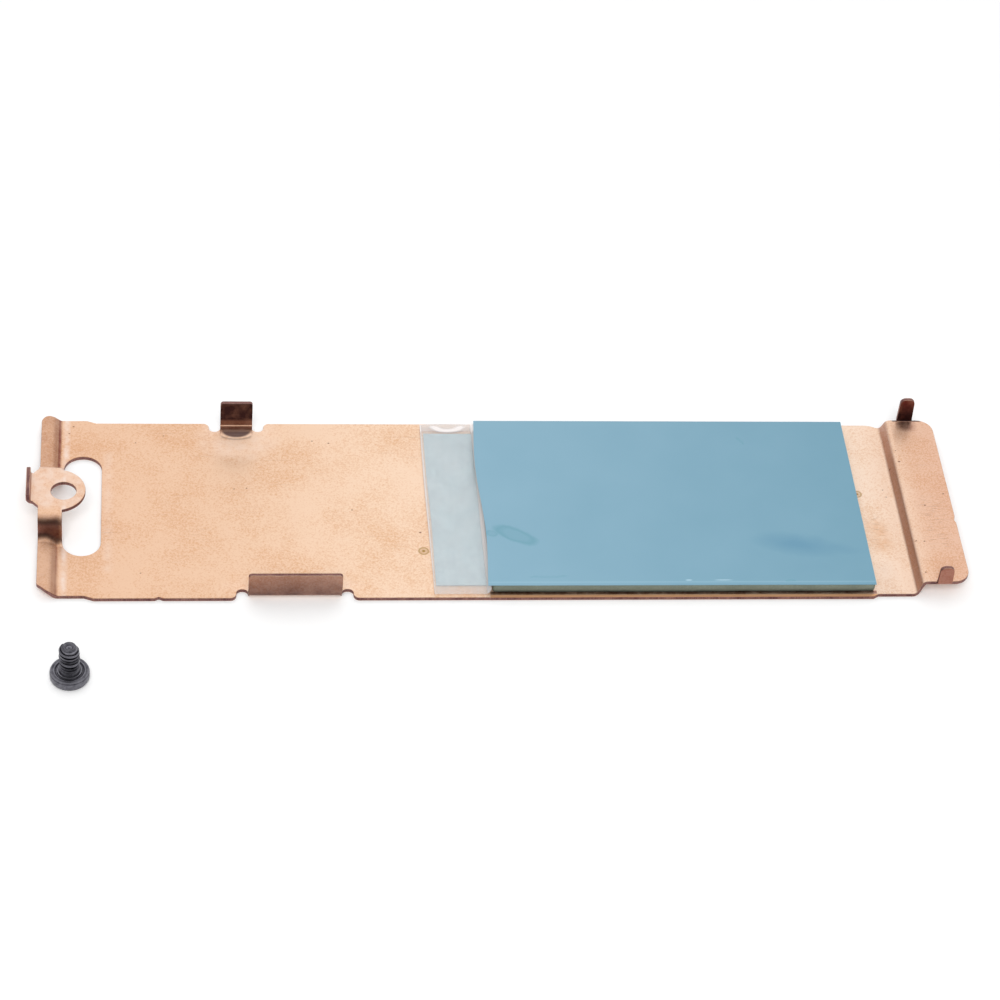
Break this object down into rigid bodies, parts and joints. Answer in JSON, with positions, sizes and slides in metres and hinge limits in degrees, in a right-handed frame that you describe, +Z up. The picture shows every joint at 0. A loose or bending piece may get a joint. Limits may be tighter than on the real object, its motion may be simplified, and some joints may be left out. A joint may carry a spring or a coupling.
{
  "type": "ssd heat sink",
  "caption": "Folded copper heat sink that snaps over a long laptop drive, with a raised screw ear, a thermal pad under a blue liner and its own screw.",
  "frame": {"origin": "middle of the 80 mm drive's footprint, on the flat underside of the copper sheet", "axes": "+X along the drive from its screw end to its connector end, +Y to the rear, +Z up out of the sheet, the way the tabs point"},
  "size_m": [0.089, 0.0357, 0.0044],
  "materials": {
    "copper": "bright rolled copper",
    "silicone_pad": "matt grey-green thermal silicone",
    "blue_film": "satin blue release film",
    "pale_tape": "matt pale grey-blue tape",
    "clear_film": "clear glossy film",
    "black_steel": "black oxide steel"
  },
  "bodies": {
    "root": {"heat_spreader": "copper", "thermal_pad": "silicone_pad", "blue_liner": "blue_film", "tape_strip": "pale_tape", "clear_film": "clear_film", "fixing_screw": "black_steel"}
  },
  "joints": []
}
